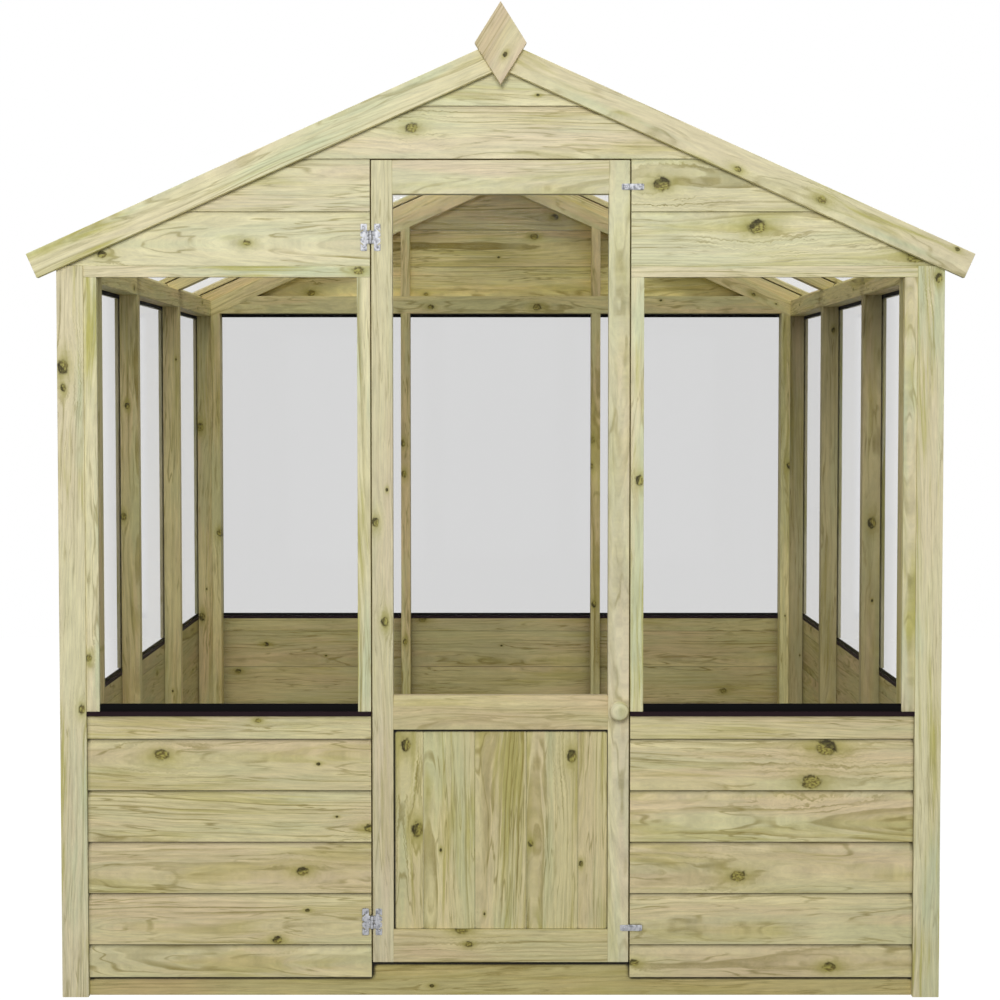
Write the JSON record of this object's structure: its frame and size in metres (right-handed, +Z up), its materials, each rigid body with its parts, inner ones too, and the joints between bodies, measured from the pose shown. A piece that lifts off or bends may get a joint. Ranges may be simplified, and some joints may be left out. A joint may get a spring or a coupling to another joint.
{
  "type": "wooden greenhouse",
  "caption": "Gable-roofed softwood greenhouse with clad lower walls, clear glazing above, a hinged half-glazed door with turn buttons, bargeboards and diamond finials.",
  "frame": {"origin": "on the ground at the middle of the plan, bottom centre of the overall box", "axes": "+Z up, the door gable faces -Y, +X to the right when facing the door"},
  "size_m": [2.0278, 1.874, 2.1421],
  "materials": {
    "softwood": "pressure-treated, planed",
    "glazing": "clear plastic sheet",
    "black_strip": "matt extruded",
    "galvanised": "zinc plated"
  },
  "bodies": {
    "house": {"front_bottom_rail": "softwood", "back_bottom_rail": "softwood", "side_bottom_rails": "softwood", "front_posts": "softwood", "back_posts": "softwood", "front_gable_rafters": "softwood", "back_gable_rafters": "softwood", "door_posts": "softwood", "front_headers": "softwood", "back_studs": "softwood", "back_header": "softwood", "left_studs": "softwood", "right_studs": "softwood", "wall_plates": "softwood", "front_left_cladding": "softwood", "front_right_cladding": "softwood", "left_cladding": "softwood", "right_cladding": "softwood", "back_cladding": "softwood", "front_gable_cladding": "softwood", "back_gable_cladding": "softwood", "front_beads": "softwood", "back_beads": "softwood", "side_beads": "softwood", "corner_trims": "softwood", "finials": "softwood", "front_bargeboards": "softwood", "back_bargeboards": "softwood", "left_roof_frame": "softwood", "right_roof_frame": "softwood", "left_roof_battens": "softwood", "right_roof_battens": "softwood", "ridge_capping": "softwood", "door_stops": "softwood", "front_panes": "glazing", "back_panes": "glazing", "left_panes": "glazing", "right_panes": "glazing", "left_roof_panes": "glazing", "right_roof_panes": "glazing", "front_sills": "black_strip", "back_sill": "black_strip", "side_sills": "black_strip", "head_strips": "black_strip", "hinge_wall_leaves": "galvanised", "hinge_pins": "galvanised", "hinge_wall_screws": "galvanised"},
    "door": {"door_stiles": "softwood", "door_top_rail": "softwood", "door_bottom_rail": "softwood", "door_mid_rail": "softwood", "door_panel": "softwood", "door_pane": "glazing", "door_knob": "softwood", "hinge_door_leaves": "galvanised", "hinge_door_screws": "galvanised", "turn_button_screws": "galvanised"},
    "upper_button": {"upper_turn_button": "galvanised"},
    "lower_button": {"lower_turn_button": "galvanised"}
  },
  "joints": [
    {"name": "door_hinge", "type": "hinge", "parent": "house", "child": "door", "pos_m": [-0.279, -0.9055, 0.906], "axis": [0, 0, -1], "range_deg": [0, 165]},
    {"name": "upper_button_turn", "type": "hinge", "parent": "door", "child": "upper_button", "pos_m": [0.2695, -0.9027, 1.7549], "axis": [0, -1, 0], "range_deg": [-90, 90]},
    {"name": "lower_button_turn", "type": "hinge", "parent": "door", "child": "lower_button", "pos_m": [0.2695, -0.9027, 0.152], "axis": [0, -1, 0], "range_deg": [-90, 90]}
  ]
}
